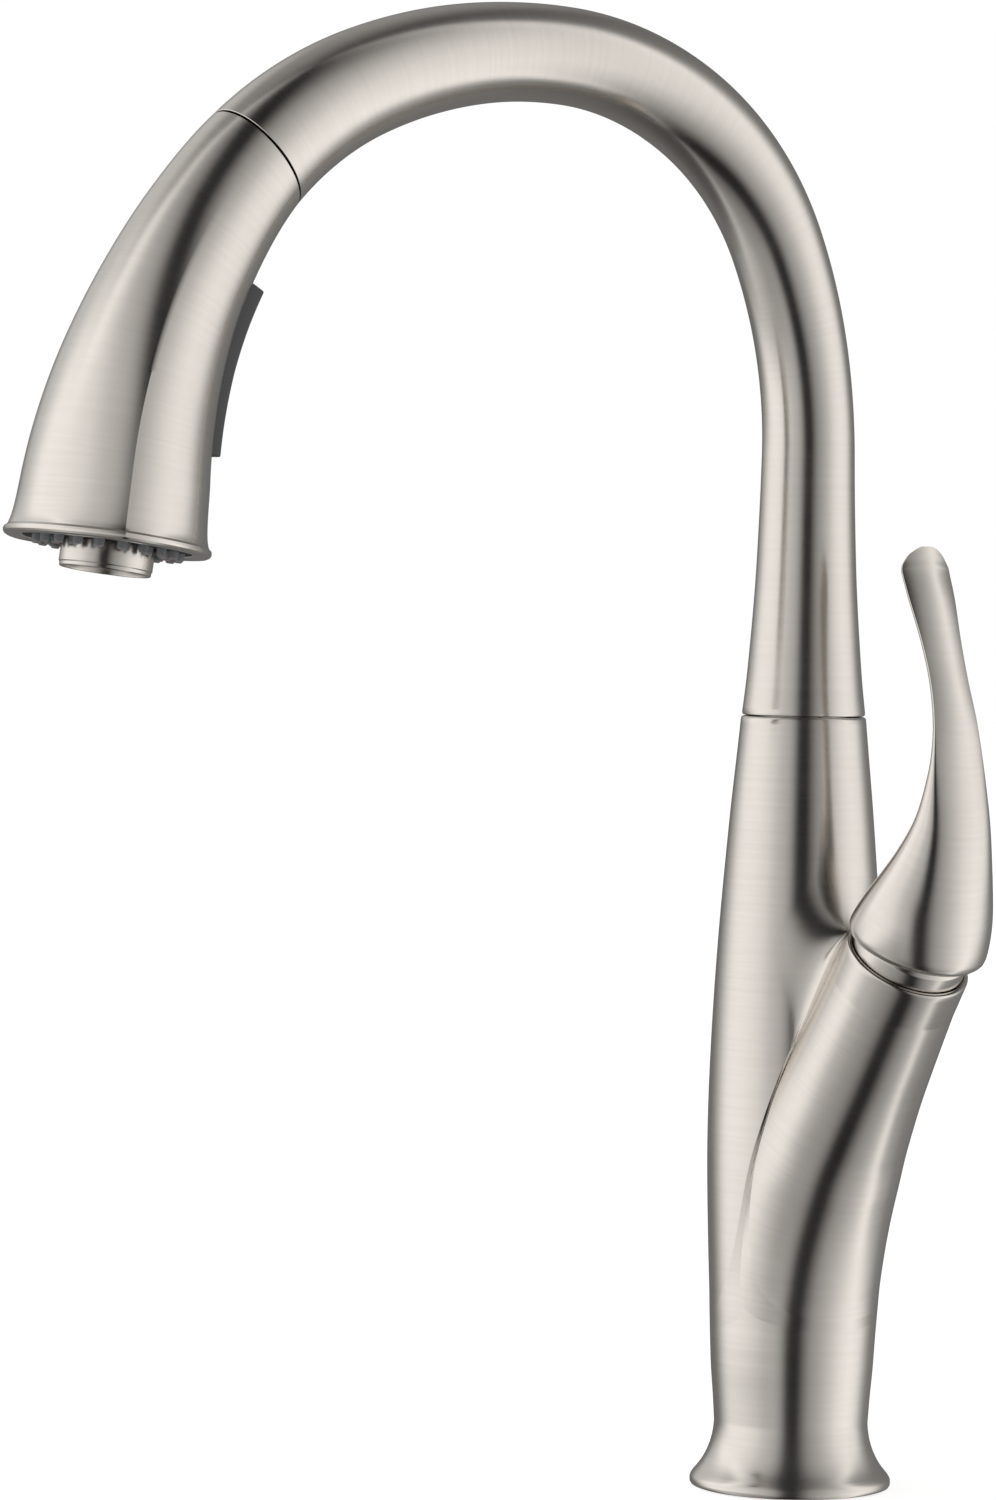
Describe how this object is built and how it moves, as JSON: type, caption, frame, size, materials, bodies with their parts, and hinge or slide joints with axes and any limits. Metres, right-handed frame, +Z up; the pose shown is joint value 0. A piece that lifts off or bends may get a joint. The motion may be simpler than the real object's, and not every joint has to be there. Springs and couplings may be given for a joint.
{
  "type": "pull-down kitchen faucet",
  "caption": "Tall arched kitchen faucet with a side lever, a swivelling gooseneck spout and a pull-down spray head with a rocker button, in brushed nickel.",
  "frame": {"origin": "centre of the hole in the counter, on the counter's upper face", "axes": "+Z up along the column, +X towards the handle, -Y towards the spout and the spray head"},
  "size_m": [0.1071, 0.2808, 0.4768],
  "materials": {
    "nickel": "brushed nickel, satin",
    "steel": "plain stainless steel",
    "brass": "machined",
    "copper": "drawn tube",
    "plastic": "fine matte",
    "button": "satin dark grey",
    "white": "moulded",
    "rubber": "soft",
    "silicone": "translucent grey",
    "ceramic": "polished ceramic",
    "hose": "braided nylon"
  },
  "bodies": {
    "body": {"faucet_body": "nickel", "base_gasket": "rubber", "mounting_shank": "brass", "deck_seal_washer": "rubber", "deck_steel_washer": "steel", "mounting_nut": "brass", "jack_screw_1": "steel", "jack_screw_2": "steel", "hot_inlet_tube": "copper", "cold_inlet_tube": "copper", "mixed_outlet_tube": "copper", "swivel_post": "brass", "swivel_seal_1": "rubber", "swivel_seal_2": "rubber", "thrust_bushing": "white", "wear_ring": "white", "spout_retaining_screw": "steel", "cartridge_base": "white", "cartridge_fixed_disc": "ceramic", "cartridge_housing": "white", "cartridge_nut": "brass", "bonnet_ring": "nickel"},
    "cartridge": {"cartridge_rotor": "plastic", "lever_pin": "steel"},
    "disc": {"cartridge_moving_disc": "ceramic", "disc_carrier": "plastic"},
    "lever": {"handle_lever": "nickel", "cartridge_stem": "brass", "handle_set_screw": "steel"},
    "spout": {"spout_tube": "nickel", "dock_magnet": "steel", "dock_collar": "plastic", "spray_hose": "hose"},
    "hose_end": {"hose_ferrule": "steel", "hose_nut": "brass", "hose_nipple": "brass", "check_valve": "white"},
    "head": {"head_shell": "nickel", "button_bezel": "plastic", "head_connector": "brass", "head_waterway": "plastic", "diverter_housing": "plastic", "spray_diffuser": "plastic", "nozzle_plate": "plastic", "nozzle_mat": "silicone", "aerator_housing": "steel", "aerator_screen": "steel", "flow_regulator": "white"},
    "rocker": {"spray_button": "button", "button_pin": "steel"},
    "diverter": {"diverter_spool": "brass"}
  },
  "joints": [
    {"name": "spout_swivel", "type": "hinge", "parent": "body", "child": "spout", "pos_m": [0, 0, 0.2193], "axis": [0, 0, 1], "continuous": true},
    {"name": "handle_turn", "type": "hinge", "parent": "body", "child": "cartridge", "pos_m": [0.0511, 0, 0.1539], "axis": [0.5461, 0, 0.8377], "range_deg": [-45, 45]},
    {"name": "handle_lift", "type": "hinge", "parent": "cartridge", "child": "lever", "pos_m": [0.05055, 0, 0.15306], "axis": [0, 1, 0], "range_deg": [0, 25]},
    {"name": "disc_slide", "type": "slide", "parent": "cartridge", "child": "disc", "axis": [-0.8377, 0, 0.5461], "range_m": [0, 0.0075]},
    {"name": "head_pull", "type": "slide", "parent": "spout", "child": "hose_end", "axis": [0, -0.7653, -0.6437], "range_m": [0, 0.3]},
    {"name": "head_swivel", "type": "hinge", "parent": "hose_end", "child": "head", "pos_m": [0, -0.18361, 0.36741], "axis": [0, -0.7653, -0.6437], "continuous": true},
    {"name": "spray_rocker", "type": "hinge", "parent": "head", "child": "rocker", "pos_m": [0, -0.19775, 0.31157], "axis": [1, 0, 0], "range_deg": [-4, 4]},
    {"name": "diverter_slide", "type": "slide", "parent": "head", "child": "diverter", "axis": [0, -0.3613, -0.9324], "range_m": [-0.0013, 0.0013]}
  ],
  "couplings": [
    {"joint": "disc_slide", "follows": "handle_lift", "m_per_rad": 0.0162},
    {"joint": "diverter_slide", "follows": "spray_rocker", "m_per_rad": 0.017}
  ]
}
